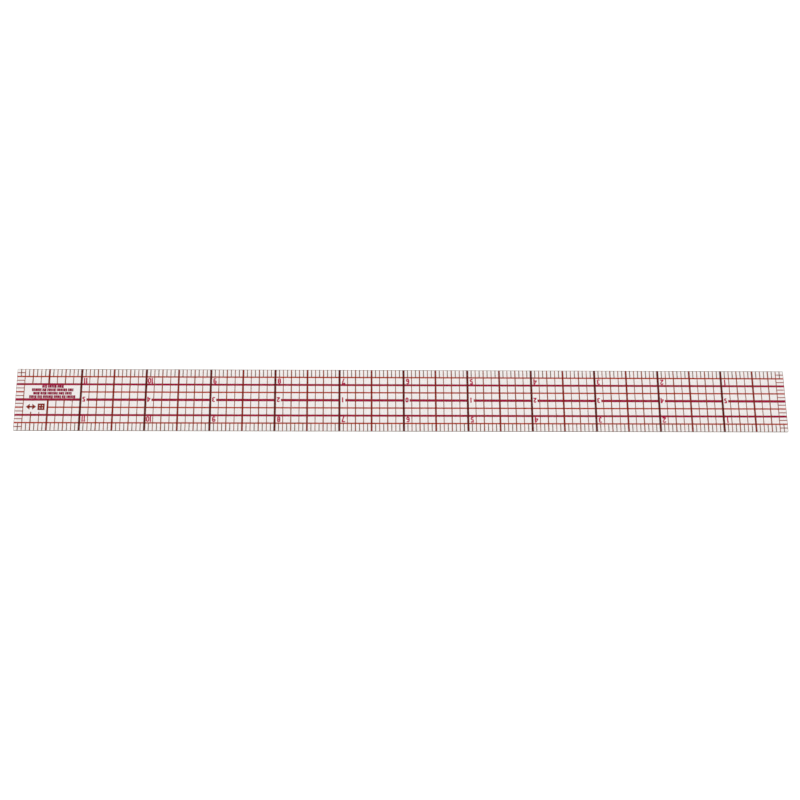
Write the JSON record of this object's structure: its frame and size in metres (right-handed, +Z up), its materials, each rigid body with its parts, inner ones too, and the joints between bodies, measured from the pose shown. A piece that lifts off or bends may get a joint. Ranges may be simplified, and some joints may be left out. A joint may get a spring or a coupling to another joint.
{
  "type": "quilting ruler",
  "caption": "Clear flexible strip ruler in laminated plastic, printed with an eighth-inch grid, sixteenth ticks along its edges, inch numerals and a centring scale.",
  "frame": {"origin": "centre of the underside, on the surface that the ruler lies on", "axes": "+X along the scale, the way its numbers rise; +Y across the ruler, up the numerals; +Z up, out of the printed face"},
  "size_m": [0.3048, 0.0254, 0.0008],
  "materials": {
    "clear_film": "clear glossy overlay film",
    "clear_core": "clear rigid sheet with sheared edges",
    "crosswise_ink": "flat maroon screen ink",
    "lengthwise_ink": "flat crimson screen ink",
    "numeral_ink": "flat crimson screen ink"
  },
  "bodies": {
    "root": {"bottom_overlay": "clear_film", "core_sheet": "clear_core", "top_overlay": "clear_film", "inch_lines": "crosswise_ink", "half_inch_lines": "crosswise_ink", "quarter_inch_lines": "crosswise_ink", "eighth_inch_lines": "crosswise_ink", "front_edge_sixteenths": "crosswise_ink", "back_edge_sixteenths": "crosswise_ink", "center_line": "lengthwise_ink", "quarter_width_lines": "lengthwise_ink", "eighth_width_lines": "lengthwise_ink", "left_end_sixteenths": "lengthwise_ink", "right_end_sixteenths": "lengthwise_ink", "front_numerals": "numeral_ink", "back_numerals": "numeral_ink", "centering_numerals": "numeral_ink", "legend_bars": "numeral_ink", "grid_sign": "crosswise_ink"}
  },
  "joints": []
}
